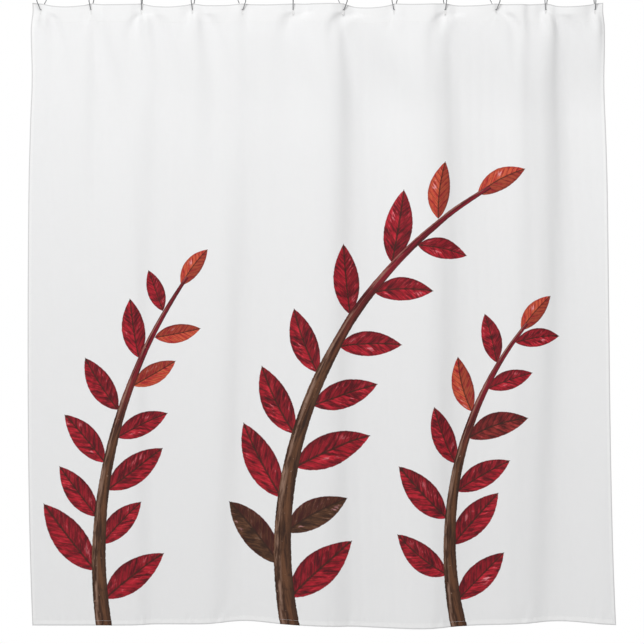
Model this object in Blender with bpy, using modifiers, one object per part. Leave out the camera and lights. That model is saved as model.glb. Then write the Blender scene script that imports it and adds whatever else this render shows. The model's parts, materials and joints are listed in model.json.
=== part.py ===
"""A fabric shower curtain that hangs from twelve pear-shaped wire hooks.

Metres, +Z up. The origin is on the axis of the rod that the hooks hang on, at the middle of the
curtain's width. The front of the cloth faces -Y, and +X is to the right of someone facing it.
"""

import math
from collections import namedtuple

import bmesh
import bpy
import numpy as np
from mathutils import Matrix, Vector

# the cloth, as cut and sewn
CLOTH_WIDTH = 1.803
CLOTH_LENGTH = 1.880
CLOTH_THICKNESS = 0.0012
HEM_THICKNESS = 0.0018
TOP_HEM = 0.054
LOW_HEM = 0.017
SIDE_HEM = 0.011
SEAM_STEP = 0.0008
SIDE_MARGIN = 0.027
EDGE_ABOVE_HOLE = 0.0155

# the hooks
HOOK_COUNT = 12
ROD_RADIUS = 0.0125
REST_GAP = 0.0005
WIRE_RADIUS = 0.0014
HOOK_HEIGHT = 0.070
HOOK_BIG_BEND = 0.025
HOOK_SMALL_BEND = 0.0045
HOOK_TURNS = (-40, -15, 0, -12, 40, 0, 44, -26, 11, 45, -17, 0)
HOOK_BEND_STEPS = (13, 6)
TIP_BELOW_BEND = 0.0015
CATCH_OFFSET = 0.0032
CATCH_LOW = 0.013
CATCH_SHIFT_STEPS = 5
CATCH_RISE = 0.005
CATCH_WRAP = math.radians(200)
CATCH_WRAP_STEPS = 7
CATCH_WRAP_GAIN = 1.5

# the stitched edges of the buttonholes
BEAD_RADIUS = 0.0011
EDGE_BIG_BEND = 0.0035
EDGE_SMALL_BEND = 0.0018
EDGE_HEIGHT = 0.0168
EDGE_BEND_STEPS = (9, 5)
GAP = 0.0003
CUTTER_HALF_DEPTH = 0.006
CUTTER_BEND_STEPS = (12, 6)
WELD = 0.00001

# how the cloth hangs
SPREAD_LENGTH = 0.35
TOP_GENTLE = 0.6
LOW_GENTLE = 1.5
VALLEY_REACH = 1.6
PINNED_LENGTH = 0.35
LEAST_FORWARD = 0.2
# the share of the width left by wrinkles too fine for this grid, and what more they take up at the
# top and over which length down
FINE_WRINKLES = 0.993
TOP_TAKE_UP = 0.0160
TAKE_UP_LENGTH = 0.35
# the sag between hooks, the lower part's shift and uneven edge, and the turn round each hole
TOP_SAG = 0.006
SAG_LENGTH = 0.5
LOW_SHIFT = 0.017
LOW_SHIFT_POWER = 5
LOW_WAVE_POWER = 3
TURN_SHARE = 0.6
TURN_REACH = 0.022
TURN_DROP = 0.045
FINE_STEPS = 1600
SLOPE_STEP = 0.0005

# Each fold is a valley: a steep side that goes back from left to right, then a gentle side that
# comes forward again. at and low_at are the place of the steep side at the top and at the lower
# edge, slope and low_slope its steepness there, narrow and wide its width near the hooks and
# below them, and gentle the width of the other side. The fold begins to show over the length
# start and has gone by the length end.
Fold = namedtuple("Fold", "at low_at slope low_slope narrow wide gentle start end")
NEVER = 9.0
FOLDS = (
    Fold(0.060, 0.070, 0.34, 0.00, 0.010, 0.020, 0.018, 0.00, 0.40),
    Fold(0.184, 0.184, 0.42, 0.00, 0.012, 0.028, 0.024, 0.00, 0.85),
    Fold(0.298, 0.300, 0.34, 0.00, 0.010, 0.030, 0.020, 0.00, 0.40),
    Fold(0.380, 0.384, 0.36, 0.00, 0.010, 0.025, 0.030, 0.00, 0.55),
    Fold(0.534, 0.560, 0.46, 0.00, 0.014, 0.030, 0.030, 0.00, 0.80),
    Fold(0.775, 0.775, 0.30, 0.00, 0.018, 0.030, 0.025, 0.00, 0.50),
    Fold(0.925, 0.940, 0.38, 0.00, 0.014, 0.025, 0.025, 0.00, 0.30),
    Fold(1.245, 1.245, 0.35, 0.00, 0.012, 0.030, 0.030, 0.00, 0.45),
    Fold(1.500, 1.495, 0.45, 0.00, 0.010, 0.020, 0.020, 0.00, 0.30),
    Fold(1.790, 1.795, 0.58, 0.00, 0.010, 0.020, 0.020, 0.00, 0.45),
    Fold(0.355, 0.345, 0.00, 0.42, 0.020, 0.030, 0.060, 0.30, NEVER),
    Fold(0.655, 0.575, 0.24, 0.40, 0.015, 0.040, 0.060, 0.20, NEVER),
    Fold(0.975, 0.953, 0.80, 0.43, 0.012, 0.043, 0.056, 0.00, NEVER),
    Fold(1.302, 1.272, 0.58, 0.42, 0.014, 0.048, 0.055, 0.00, NEVER),
    Fold(1.552, 1.482, 0.62, 0.24, 0.012, 0.030, 0.050, 0.00, NEVER),
    Fold(1.643, 1.558, 0.86, 0.44, 0.013, 0.042, 0.044, 0.00, NEVER),
)
EARLY_SHOW = 0.3
SETTLE_LENGTH = 0.45

# places along the lower edge that hang higher or lower: where, how much, how wide
LOW_EDGE_WAVES = ((0.655, 0.009, 0.09), (1.150, -0.014, 0.24), (1.640, 0.006, 0.10))

# the grid that the cloth is modelled on: shares of a hook's interval, how far the rows beside the
# holes are from their middle, and rows down the body, which are closer near the top
COLUMN_SHARES = (0.0, 0.065, 0.22, 0.41, 0.59, 0.78, 0.935)
ROW_FROM_HOLE = 0.0145
BODY_ROWS = 15
ROW_CROWDING = 1.25

HOOK_TOP = ROD_RADIUS + REST_GAP + WIRE_RADIUS
HOOK_LOW = HOOK_TOP - HOOK_HEIGHT
HOLE_TOP = HOOK_LOW + WIRE_RADIUS + GAP
EDGE_TOP = HOLE_TOP + 2 * BEAD_RADIUS
CLOTH_TOP = EDGE_TOP + EDGE_ABOVE_HOLE
EDGE_CENTRE = HOLE_TOP + BEAD_RADIUS - EDGE_HEIGHT / 2
HOLE_DOWN = CLOTH_TOP - EDGE_CENTRE
PITCH = (CLOTH_WIDTH - 2 * SIDE_MARGIN) / (HOOK_COUNT - 1)
HOLES = SIDE_MARGIN + PITCH * np.arange(HOOK_COUNT)


def ease(share):
    share = np.clip(share, 0, 1)
    return share * share * (3 - 2 * share)


def rise(distance, width):
    return 0.5 * (1 + np.tanh(distance / width))


def fold_depth(fold, across, down):
    """How far one fold takes the cloth back, at places across it and a length down it."""
    at = fold.at + (fold.low_at - fold.at) * (down / CLOTH_LENGTH) ** 2
    if fold.end < NEVER:
        slope = fold.slope * (1 - ease(down / fold.end))
    else:
        slope = fold.low_slope + (fold.slope - fold.low_slope) * math.exp(-down / SETTLE_LENGTH)
    if fold.start > 0:
        slope = slope * (EARLY_SHOW + (1 - EARLY_SHOW) * ease(down / fold.start))
    spread = ease(down / SPREAD_LENGTH)
    steep = fold.narrow + (fold.wide - fold.narrow) * spread
    gentle = fold.gentle * (TOP_GENTLE + (LOW_GENTLE - TOP_GENTLE) * spread)
    turn_back = at + VALLEY_REACH * (steep + gentle)
    return 2 * steep * slope * (rise(across - at, steep) - rise(across - turn_back, gentle))


def folds_depth(across, down):
    return sum(fold_depth(fold, across, down) for fold in FOLDS)


def between_holes(across):
    """Which interval between holes each place is in, and its share of the way along it."""
    steps = np.clip((across - HOLES[0]) / PITCH, 0, HOOK_COUNT - 1)
    index = np.minimum(steps.astype(int), HOOK_COUNT - 2)
    return index, steps - index


def hung_depth(across, down):
    """The folds, with every hole brought into the plane below the rod."""
    index, share = between_holes(across)
    at_holes = folds_depth(HOLES, HOLE_DOWN)
    pull = at_holes[index] + (at_holes[index + 1] - at_holes[index]) * ease(share)
    return folds_depth(across, down) - pull * math.exp(-(down - HOLE_DOWN) / PINNED_LENGTH)


def slope_at_holes():
    after = hung_depth(HOLES + SLOPE_STEP, HOLE_DOWN)
    before = hung_depth(HOLES - SLOPE_STEP, HOLE_DOWN)
    return (after - before) / (2 * SLOPE_STEP)


def hole_angles():
    """How far the cloth round each hole turns: part of the way with its hook."""
    return np.radians(HOOK_TURNS) * TURN_SHARE


def cloth_depth(across, down):
    """The hung cloth's place along Y, with the cloth round each hole turned by its hook."""
    depth = hung_depth(across, down)
    near = math.exp(-(((down - HOLE_DOWN) / TURN_DROP) ** 2))
    twists = np.sin(hole_angles()) - slope_at_holes()
    for hole, twist in zip(HOLES, twists):
        away = across - hole
        depth = depth + twist * away * np.exp(-((away / TURN_REACH) ** 2)) * near
    return depth


def cloth_row(down):
    """Places across the cloth, and their X and Y as it hangs, at one length down it."""
    across = np.linspace(0, CLOTH_WIDTH, FINE_STEPS + 1)
    depth = cloth_depth(across, down)
    slope = np.gradient(depth, across)
    flatness = FINE_WRINKLES - TOP_TAKE_UP * math.exp(-down / TAKE_UP_LENGTH)
    forward = flatness * np.sqrt(np.maximum(LEAST_FORWARD**2, 1 - slope**2))
    steps = 0.5 * (forward[1:] + forward[:-1]) * np.diff(across)
    x = np.concatenate([[0.0], np.cumsum(steps)])
    x = x - x[-1] / 2 + LOW_SHIFT * (down / CLOTH_LENGTH) ** LOW_SHIFT_POWER
    return across, x, depth


def cloth_height(across, down):
    """Z of the hung cloth: it sags between hooks, and its lower edge is a little uneven."""
    share = between_holes(across)[1]
    sag = TOP_SAG * 4 * share * (1 - share) * math.exp(-down / SAG_LENGTH)
    low = (down / CLOTH_LENGTH) ** LOW_WAVE_POWER
    waves = sum(lift * np.exp(-(((across - at) / width) ** 2)) for at, lift, width in LOW_EDGE_WAVES)
    return CLOTH_TOP - down - sag + waves * low


def grid_columns():
    """Places across the cloth for the grid: both side hems, then shares of each interval."""
    left = [0.0, SIDE_HEM, SIDE_HEM + SEAM_STEP, HOLES[0] - PITCH * COLUMN_SHARES[1]]
    middle = [hole + PITCH * share for hole in HOLES[:-1] for share in COLUMN_SHARES]
    right = [HOLES[-1], HOLES[-1] + PITCH * COLUMN_SHARES[1]]
    right += [CLOTH_WIDTH - SIDE_HEM - SEAM_STEP, CLOTH_WIDTH - SIDE_HEM, CLOTH_WIDTH]
    return np.array(left + middle + right)


def grid_rows():
    """Lengths down the cloth for the grid: the top hem, the body and the lower hem."""
    top = [0.0, HOLE_DOWN - ROW_FROM_HOLE, HOLE_DOWN, HOLE_DOWN + ROW_FROM_HOLE, TOP_HEM]
    body_top = TOP_HEM + SEAM_STEP
    body_low = CLOTH_LENGTH - LOW_HEM - SEAM_STEP
    shares = np.linspace(0, 1, BODY_ROWS + 1) ** ROW_CROWDING
    body = list(body_top + (body_low - body_top) * shares)
    return np.array(top + body + [CLOTH_LENGTH - LOW_HEM, CLOTH_LENGTH])


def in_hem(across, down):
    """Whether a grid point lies on a hem."""
    side = min(across, CLOTH_WIDTH - across)
    return side <= SIDE_HEM or down <= TOP_HEM or down >= CLOTH_LENGTH - LOW_HEM


def make_material(name, colour, roughness, metallic=0.0):
    material = bpy.data.materials.new(name)
    material.use_nodes = True
    shader = material.node_tree.nodes["Principled BSDF"]
    shader.inputs["Base Color"].default_value = (*colour, 1.0)
    shader.inputs["Roughness"].default_value = roughness
    shader.inputs["Metallic"].default_value = metallic
    return material


def make_collection(name):
    collection = bpy.data.collections.new(name)
    bpy.context.scene.collection.children.link(collection)
    return collection


def pear_outline(big, small, height, big_steps, small_steps):
    """A pear outline with its top at height 0: over the big end from right to left, then round
    the small end from left to right."""
    lean = math.asin((big - small) / (height - big - small))
    points = []
    for step in range(big_steps + 1):
        angle = -lean + (math.pi + 2 * lean) * step / big_steps
        points.append(Vector((big * math.cos(angle), big * math.sin(angle) - big)))
    for step in range(small_steps + 1):
        angle = math.pi + lean + (math.pi - 2 * lean) * step / small_steps
        points.append(Vector((small * math.cos(angle), small * math.sin(angle) + small - height)))
    return points


def add_wire(name, points, radius, resolution, closed):
    """A round wire along 3-D points, as a curve with filled ends."""
    curve = bpy.data.curves.new(name, "CURVE")
    curve.dimensions = "3D"
    curve.bevel_depth = radius
    curve.bevel_resolution = resolution
    curve.use_fill_caps = True
    spline = curve.splines.new("POLY")
    spline.points.add(len(points) - 1)
    for place, point in zip(spline.points, points):
        place.co = (*point, 1.0)
    spline.use_cyclic_u = closed
    return bpy.data.objects.new(name, curve)


def front_arm():
    """The low end and the high end of a hook's straight front arm."""
    outline = pear_outline(HOOK_BIG_BEND, HOOK_SMALL_BEND, HOOK_HEIGHT, 1, 1)
    return outline[-1], outline[0]


def beside_arm(along, offset, wrap):
    """A point of the wire's ends: along the front arm and on round the big bend, set off towards
    the inside of the hook, and turned round the arm by an angle."""
    low, high = front_arm()
    run = high - low
    lean = math.atan2(run.x, run.y)
    if along <= run.length:
        place = low + run * along / run.length
    else:
        lean = lean + (run.length - along) / HOOK_BIG_BEND
        place = Vector((math.cos(lean), -math.sin(lean))) * HOOK_BIG_BEND - Vector((0, HOOK_BIG_BEND))
    inward = Vector((-math.cos(lean), math.sin(lean)))
    return place + inward * offset * math.cos(wrap), offset * math.sin(wrap)


def hook_path():
    """The wire of one hook: from its tip over the rod, down behind the cloth, through the
    buttonhole and up again to the catch that wraps round the tip."""
    low, high = front_arm()
    arm_length = (high - low).length
    flat = [beside_arm(arm_length - TIP_BELOW_BEND, 0.0, 0.0)]
    outline = pear_outline(HOOK_BIG_BEND, HOOK_SMALL_BEND, HOOK_HEIGHT, *HOOK_BEND_STEPS)
    flat += [(point, 0.0) for point in outline]
    for step in range(CATCH_SHIFT_STEPS):
        share = step / CATCH_SHIFT_STEPS
        flat.append(beside_arm(arm_length - CATCH_LOW * (1 - share), CATCH_OFFSET * ease(share), 0.0))
    for step in range(CATCH_WRAP_STEPS + 1):
        share = step / CATCH_WRAP_STEPS
        wrap = CATCH_WRAP * share**CATCH_WRAP_GAIN
        flat.append(beside_arm(arm_length + CATCH_RISE * share, CATCH_OFFSET, wrap))
    return [(aside, -place.x, HOOK_TOP + place.y) for place, aside in flat]


def hole_places():
    """X, and the angle about Z, of the cloth at every hole."""
    across, x, _ = cloth_row(HOLE_DOWN)
    return list(zip(np.interp(HOLES, across, x), hole_angles()))


def edge_path():
    """The middle line of a stitched edge, in its own flat frame about its centre."""
    outline = pear_outline(EDGE_BIG_BEND, EDGE_SMALL_BEND, EDGE_HEIGHT, *EDGE_BEND_STEPS)
    return [(point.x, 0.0, point.y + EDGE_HEIGHT / 2) for point in outline]


def add_hole_cutter(name, x, angle, collection):
    """A prism with the outline of a stitched edge and its gap, through the cloth."""
    wider = BEAD_RADIUS + GAP
    height = EDGE_HEIGHT + 2 * wider
    bends = (EDGE_BIG_BEND + wider, EDGE_SMALL_BEND + wider)
    outline = pear_outline(*bends, height, *CUTTER_BEND_STEPS)
    curve = bpy.data.curves.new(name, "CURVE")
    curve.dimensions = "2D"
    curve.fill_mode = "BOTH"
    curve.extrude = CUTTER_HALF_DEPTH
    spline = curve.splines.new("POLY")
    spline.points.add(len(outline) - 1)
    for place, point in zip(spline.points, outline):
        place.co = (point.x, point.y + height / 2, 0.0, 1.0)
    spline.use_cyclic_u = True
    drawn = bpy.data.objects.new(name + "_outline", curve)
    collection.objects.link(drawn)
    mesh = bpy.data.meshes.new_from_object(drawn.evaluated_get(bpy.context.evaluated_depsgraph_get()))
    bpy.data.objects.remove(drawn)
    shape = bmesh.new()
    shape.from_mesh(mesh)
    bmesh.ops.remove_doubles(shape, verts=shape.verts, dist=WELD)
    bmesh.ops.recalc_face_normals(shape, faces=shape.faces)
    shape.to_mesh(mesh)
    shape.free()
    cutter = bpy.data.objects.new(name, mesh)
    upright = Matrix.Rotation(math.pi / 2, 4, "X")
    cutter.matrix_world = Matrix.Translation((x, 0, EDGE_CENTRE)) @ Matrix.Rotation(angle, 4, "Z") @ upright
    cutter.hide_render = True
    cutter.display_type = "WIRE"
    collection.objects.link(cutter)


def add_panel(collection, cutters, material):
    """The cloth: a flat grid laid into its folds, thickened to the back, with its holes cut."""
    columns = grid_columns()
    rows = grid_rows()
    sheet = bmesh.new()
    bmesh.ops.create_grid(sheet, x_segments=len(columns) - 1, y_segments=len(rows) - 1, size=0.5)
    bent_rows = [cloth_row(down) for down in rows]
    hem_points = []
    for vertex in sheet.verts:
        column = round((vertex.co.x + 0.5) * (len(columns) - 1))
        row = round((0.5 - vertex.co.y) * (len(rows) - 1))
        across, x, depth = bent_rows[row]
        place = columns[column]
        front = np.interp(place, across, depth) - HEM_THICKNESS / 2
        height = cloth_height(np.array([place]), rows[row])[0]
        vertex.co = (np.interp(place, across, x), front, height)
        if in_hem(place, rows[row]):
            hem_points.append(vertex.index)
    bmesh.ops.triangulate(sheet, faces=sheet.faces)
    mesh = bpy.data.meshes.new("curtain_panel")
    sheet.to_mesh(mesh)
    sheet.free()
    if mesh.polygons[0].normal.y > 0:
        mesh.flip_normals()
    panel = bpy.data.objects.new("curtain_panel", mesh)
    collection.objects.link(panel)
    hems = panel.vertex_groups.new(name="hems")
    hems.add(hem_points, 1.0, "REPLACE")
    thickness = panel.modifiers.new("thickness", "SOLIDIFY")
    thickness.thickness = HEM_THICKNESS
    thickness.offset = -1.0
    thickness.vertex_group = hems.name
    thickness.thickness_vertex_group = CLOTH_THICKNESS / HEM_THICKNESS
    holes = panel.modifiers.new("holes", "BOOLEAN")
    holes.operation = "DIFFERENCE"
    holes.solver = "EXACT"
    holes.operand_type = "COLLECTION"
    holes.collection = cutters
    mesh.materials.append(material)
    mesh.shade_smooth()


def main():
    for old in list(bpy.data.objects):
        bpy.data.objects.remove(old)
    curtain = make_collection("shower_curtain")
    cutters = make_collection("cutters")
    cloth = make_material("curtain_cloth", (0.87, 0.87, 0.87), 0.85)
    thread = make_material("edge_thread", (0.80, 0.80, 0.79), 0.7)
    steel = make_material("hook_steel", (0.62, 0.62, 0.63), 0.25, 1.0)

    for number, (x, angle) in enumerate(hole_places(), start=1):
        edge = add_wire(f"buttonhole_edge_{number:02d}", edge_path(), BEAD_RADIUS, 1, True)
        edge.location = (x, 0, EDGE_CENTRE)
        edge.rotation_euler = (0, 0, angle)
        edge.data.materials.append(thread)
        curtain.objects.link(edge)

        hook = add_wire(f"hook_{number:02d}", hook_path(), WIRE_RADIUS, 2, False)
        hook.location = (x, 0, 0)
        hook.rotation_euler = (0, 0, math.radians(HOOK_TURNS[number - 1]))
        hook.data.materials.append(steel)
        curtain.objects.link(hook)

        add_hole_cutter(f"hole_cutter_{number:02d}", x, angle, cutters)

    add_panel(curtain, cutters, cloth)


main()
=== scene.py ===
"""The looks of a fabric shower curtain that hangs from twelve pear-shaped wire hooks.

Metres, +Z up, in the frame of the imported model. The origin is on the axis of the rod that the hooks
hang on, at the middle of the curtain's width. The front of the cloth faces -Y.
"""

import json
import math
from collections import namedtuple
from functools import cache, partialmethod

import bmesh
import bpy
import numpy as np
from mathutils import Matrix, Vector

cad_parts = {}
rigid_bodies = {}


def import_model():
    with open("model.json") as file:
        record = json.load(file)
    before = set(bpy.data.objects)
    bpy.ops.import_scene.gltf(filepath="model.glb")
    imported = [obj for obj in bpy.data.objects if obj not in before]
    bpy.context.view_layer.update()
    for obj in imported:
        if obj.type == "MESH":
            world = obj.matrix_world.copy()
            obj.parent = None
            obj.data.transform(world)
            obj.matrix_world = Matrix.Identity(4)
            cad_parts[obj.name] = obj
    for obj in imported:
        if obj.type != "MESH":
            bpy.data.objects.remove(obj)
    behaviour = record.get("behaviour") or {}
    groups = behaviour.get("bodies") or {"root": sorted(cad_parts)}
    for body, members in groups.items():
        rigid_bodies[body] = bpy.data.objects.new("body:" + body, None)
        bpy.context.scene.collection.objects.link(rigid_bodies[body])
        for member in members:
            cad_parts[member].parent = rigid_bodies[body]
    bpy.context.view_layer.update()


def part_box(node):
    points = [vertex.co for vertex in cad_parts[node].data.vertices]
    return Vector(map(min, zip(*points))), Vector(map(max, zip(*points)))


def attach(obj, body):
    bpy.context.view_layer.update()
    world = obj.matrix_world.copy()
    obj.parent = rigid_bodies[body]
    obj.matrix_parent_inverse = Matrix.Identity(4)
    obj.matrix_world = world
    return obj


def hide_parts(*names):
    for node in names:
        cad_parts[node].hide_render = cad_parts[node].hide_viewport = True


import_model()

# the cloth, as cut and sewn
CLOTH_WIDTH = 1.803
CLOTH_LENGTH = 1.880
CLOTH_THICKNESS = 0.0007
HEM_THICKNESS = 0.0014
TOP_HEM = 0.054
LOW_HEM = 0.017
SIDE_HEM = 0.011
SIDE_MARGIN = 0.027
EDGE_ABOVE_HOLE = 0.0155

# the hooks
HOOK_COUNT = 12
ROD_RADIUS = 0.0125
REST_GAP = 0.0005
WIRE_RADIUS = 0.0014
HOOK_HEIGHT = 0.070
HOOK_BIG_BEND = 0.025
HOOK_SMALL_BEND = 0.0045
HOOK_TURNS = (-40, -15, 0, -12, 40, 0, 44, -26, 11, 45, -17, 0)
HOOK_BEND_STEPS = (36, 14)
TIP_BELOW_BEND = 0.0015
CATCH_OFFSET = 0.0032
CATCH_LOW = 0.013
CATCH_SHIFT_STEPS = 12
CATCH_RISE = 0.005
CATCH_WRAP = math.radians(200)
CATCH_WRAP_STEPS = 18
CATCH_WRAP_GAIN = 1.5
WIRE_SIDES = 14
WIRE_SHARP = math.radians(50)
TIP_ANGLES = (12, 40, 68)

# the stitched edges of the buttonholes
BEAD_RADIUS = 0.0011
EDGE_BIG_BEND = 0.0035
EDGE_SMALL_BEND = 0.0018
EDGE_HEIGHT = 0.0168
GAP = 0.0003
CUTTER_HALF_DEPTH = 0.006
CUTTER_BEND_STEPS = (16, 8)
CLOTH_SHARP = math.radians(60)
SATIN_PITCH = 0.00055
SATIN_RINGS = 4
SATIN_SIDES = 12
SATIN_BEND_STEPS = (24, 14)
SATIN_THICK = 0.0008
SATIN_GROOVE = 0.20
SATIN_UNEVEN = (0.90, 1.06)
WIRE_ROOM_HALF = 0.0019
WIRE_ROOM_DOWN = 0.0042
SLIT_CLOSING = 0.0016
SLIT_HALF = 0.00008
EDGE_DRAW = 40
WELD = 0.00001

# how the cloth hangs
SPREAD_LENGTH = 0.35
TOP_GENTLE = 0.6
LOW_GENTLE = 1.5
VALLEY_REACH = 1.6
PINNED_LENGTH = 0.35
FINE_WRINKLES = 0.993
TOP_TAKE_UP = 0.0160
TAKE_UP_LENGTH = 0.35
LEAST_FORWARD = 0.2
TOP_SAGS = (0.0098, 0.0030, 0.0105, 0.0056, 0.0030, 0.0006, 0.0122, 0.0020, 0.0062, 0.0036, 0.0098)
TOP_SAG = 0.006
EDGE_SAG_LENGTH = 0.06
SAG_LENGTH = 0.5
CORNER_LIFT = 0.0022
LOW_SHIFT = 0.017
LOW_SHIFT_POWER = 5
RIGHT_SPREAD = 0.0055
RIGHT_SPREAD_LENGTH = 0.3
LOW_WAVE_POWER = 3
LOW_DROP = 0.0060
TURN_SHARE = 0.6
TURN_REACH = 0.022
TURN_DROP = 0.045
FINE_STEPS = 1600
SLOPE_STEP = 0.0005
POINT_STEP = 0.0012

# Each fold is a valley: a steep side that goes back from left to right, then a gentle side that
# comes forward again. at and low_at are the place of the steep side at the top and at the lower
# edge, slope and low_slope its steepness there, narrow and wide its width near the hooks and
# below them, and gentle the width of the other side. The fold begins to show over the length
# start and has gone by the length end.
Fold = namedtuple("Fold", "at low_at slope low_slope narrow wide gentle start end")
NEVER = 9.0
FOLDS = (
    Fold(0.060, 0.070, 0.34, 0.00, 0.010, 0.020, 0.018, 0.00, 0.40),
    Fold(0.184, 0.184, 0.42, 0.00, 0.012, 0.028, 0.024, 0.00, 0.85),
    Fold(0.298, 0.300, 0.34, 0.00, 0.010, 0.030, 0.020, 0.00, 0.40),
    Fold(0.380, 0.384, 0.36, 0.00, 0.010, 0.025, 0.030, 0.00, 0.55),
    Fold(0.534, 0.560, 0.46, 0.00, 0.014, 0.030, 0.030, 0.00, 0.80),
    Fold(0.775, 0.775, 0.30, 0.00, 0.018, 0.030, 0.025, 0.00, 0.50),
    Fold(0.925, 0.940, 0.38, 0.00, 0.014, 0.025, 0.025, 0.00, 0.30),
    Fold(1.245, 1.245, 0.35, 0.00, 0.012, 0.030, 0.030, 0.00, 0.45),
    Fold(1.500, 1.495, 0.45, 0.00, 0.010, 0.020, 0.020, 0.00, 0.30),
    Fold(1.790, 1.795, 0.58, 0.00, 0.010, 0.020, 0.020, 0.00, 0.45),
    Fold(0.355, 0.345, 0.00, 0.42, 0.020, 0.030, 0.060, 0.30, NEVER),
    Fold(0.655, 0.575, 0.24, 0.40, 0.015, 0.040, 0.060, 0.20, NEVER),
    Fold(0.975, 0.953, 0.80, 0.43, 0.012, 0.043, 0.056, 0.00, NEVER),
    Fold(1.302, 1.272, 0.58, 0.42, 0.014, 0.048, 0.055, 0.00, NEVER),
    Fold(1.552, 1.482, 0.62, 0.24, 0.012, 0.030, 0.050, 0.00, NEVER),
    Fold(1.643, 1.558, 0.86, 0.44, 0.013, 0.042, 0.044, 0.00, NEVER),
)
EARLY_SHOW = 0.3
SETTLE_LENGTH = 0.45

# places along the lower edge that hang higher or lower: where, how much, how wide
LOW_EDGE_WAVES = ((0.655, 0.009, 0.09), (1.150, -0.014, 0.24), (1.640, 0.006, 0.10))

# Wrinkles that the solids leave out. Folds close to a hook run into its hole over a short length.
GATHER_REACH = 0.060
GATHER_LENGTH = 0.020
# Small rays of the cloth below each hole, as angles from straight down and their depths.
RAYS = ((-64, 0.0004), (-30, 0.0006), (0, -0.0007), (31, 0.0006), (62, 0.0004))
RAY_WIDTH = math.radians(15)
RAY_START = 0.010
RAY_PEAK = 0.022
RAY_LENGTH = 0.085
RAY_END = 0.45
RAY_SHIFT = 0.13
# how much every small wave swells and fades along its way, and over how many of its lengths
SWELL = 0.8
SWELL_WAVES = 7.3
# puckers along the seams: their waves, then their depth, their reach from the seam and a draw
PUCKER_WAVES = (0.0105, 0.0145, 0.0190, 0.0310)
TOP_PUCKER = (0.00028, 0.013, 11)
LOW_PUCKER = (0.00070, 0.017, 12)
LEFT_PUCKER = (0.00022, 0.010, 13)
RIGHT_PUCKER = (0.00022, 0.010, 14)
# soft upright streaks all over the body
STREAK_WAVES = (0.034, 0.047, 0.071, 0.113)
STREAK_DEPTH = 0.00045
STREAK_DRAWS = (21, 22)
# how they wander from side to side down the cloth: how far, how fast and from where
STREAK_DRIFTS = ((0.010, 4.5, 0.0), (0.012, 1.8, 1.0))
STREAK_CHANGE = 3.1
# creases that rise from the lower hem: place across, width, depth, lean to the right, height
Crease = namedtuple("Crease", "at width depth lean height")
CREASES = (
    Crease(0.325, 0.0055, 0.0016, 0.004, 0.026),
    Crease(0.468, 0.0050, 0.0012, 0.018, 0.030),
    Crease(0.560, 0.0100, 0.0024, 0.030, 0.055),
    Crease(0.915, 0.0070, 0.0019, -0.014, 0.045),
    Crease(0.975, 0.0060, 0.0016, 0.008, 0.035),
    Crease(1.248, 0.0080, 0.0018, 0.006, 0.030),
    Crease(1.292, 0.0060, 0.0015, -0.012, 0.045),
    Crease(1.512, 0.0095, 0.0027, 0.016, 0.060),
    Crease(1.548, 0.0060, 0.0018, -0.010, 0.035),
    Crease(1.735, 0.0090, 0.0024, 0.020, 0.110),
)
# a crease widens upwards, fades near the cloth's edge and has a low ridge on its right
CREASE_WIDENING = 0.8
CREASE_FADE = 0.35
CREASE_FADE_LENGTH = 0.006
RIDGE_SHARE = 0.5
RIDGE_PLACE = 1.6
# the stitched lines of the hems lie in a shallow groove
SEAM_FROM_FOLD = 0.0022
GROOVE_DEPTH = 0.00012
GROOVE_WIDTH = 0.0011
# the very edges roll a little to the back
ROLL_REACH = 0.0040
ROLL_DEPTH = 0.0014
ROLL_ROUNDNESS = 0.98

# the grid of the fine cloth: band of lengths down the cloth, row step and column step
FINE_TOP = 0.100
FINE_LOW = 0.070
TOP_STEP = (0.0036, 0.0034)
BODY_STEP = (0.0300, 0.0064)
LOW_STEP = (0.0038, 0.0042)
RIM_STEPS = (0.0, 0.0006, 0.0016, 0.0030, 0.0050)
HEM_STEP = 0.0003

# hem stitching
STITCH_PITCH = 0.0031
STITCH_LENGTH = 0.0026
STITCH_RADIUS = 0.00024
STITCH_SIDES = 5
# the rings of a stitch: shares of its length from the middle, of its radius outwards, and thickness
STITCH_PROFILE = ((-0.5, -0.6, 0.7), (-0.34, 0.45, 1.0), (0.34, 0.45, 1.0), (0.5, -0.6, 0.7))

HOOK_TOP = ROD_RADIUS + REST_GAP + WIRE_RADIUS
HOOK_LOW = HOOK_TOP - HOOK_HEIGHT
HOLE_TOP = HOOK_LOW + WIRE_RADIUS + GAP
EDGE_TOP = HOLE_TOP + 2 * BEAD_RADIUS
CLOTH_TOP = EDGE_TOP + EDGE_ABOVE_HOLE
EDGE_CENTRE = HOLE_TOP + BEAD_RADIUS - EDGE_HEIGHT / 2
TOP_SEAM = TOP_HEM - SEAM_FROM_FOLD
LOW_SEAM = CLOTH_LENGTH - LOW_HEM + SEAM_FROM_FOLD
HOLE_DOWN = CLOTH_TOP - EDGE_CENTRE
PITCH = (CLOTH_WIDTH - 2 * SIDE_MARGIN) / (HOOK_COUNT - 1)
HOLES = SIDE_MARGIN + PITCH * np.arange(HOOK_COUNT)
# the cloth round each hole turns part of the way with its hook
HOLE_ANGLES = np.radians(HOOK_TURNS) * TURN_SHARE

# the photograph's view: the frame's width at the curtain, and where its centre is
FRAME_WIDTH = 1.9526
FRAME_CENTRE = (0.0126, -1.0020)
CAMERA_DISTANCE = 5.6
SENSOR_WIDTH = 36.0
FARTHEST_SEEN = 60.0


def ease(share):
    share = np.clip(share, 0, 1)
    return share * share * (3 - 2 * share)


def rise(distance, width):
    return 0.5 * (1 + np.tanh(distance / width))


def bell(distance, width):
    return np.exp(-((distance / width) ** 2))


# The folds, which the solids have too


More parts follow.
